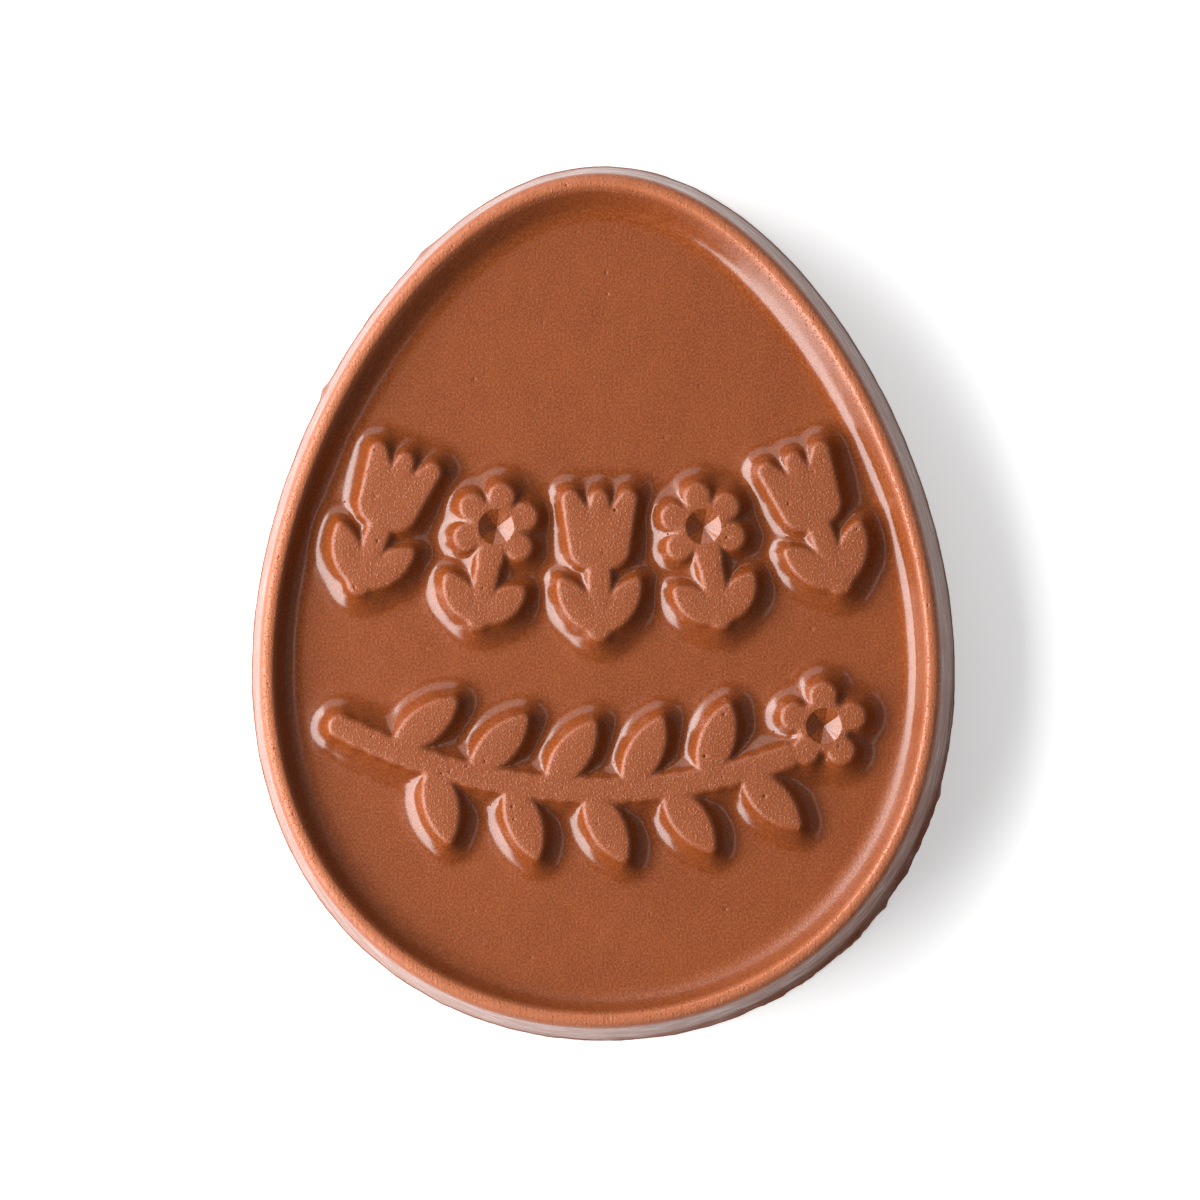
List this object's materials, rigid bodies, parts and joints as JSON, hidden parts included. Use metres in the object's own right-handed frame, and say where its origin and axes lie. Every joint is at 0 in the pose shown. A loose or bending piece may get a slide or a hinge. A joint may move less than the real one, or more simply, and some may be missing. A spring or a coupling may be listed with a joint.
{
  "type": "chocolate egg plaque",
  "caption": "Flat egg-shaped plaque of solid milk chocolate with a rounded raised rim and a sunken face carrying raised tulips, daisies and a leafy branch.",
  "frame": {"origin": "on the plane of the flat back, at the middle of the plaque's box", "axes": "+Z out of the decorated face, +Y towards the pointed end, +X to the right of someone reading the face with the pointed end up"},
  "size_m": [0.0644, 0.08, 0.0087],
  "materials": {
    "milk_chocolate": "moulded milk chocolate: satin face, glossy on the walls and fillets"
  },
  "bodies": {
    "root": {"chocolate_egg": "milk_chocolate"}
  },
  "joints": []
}
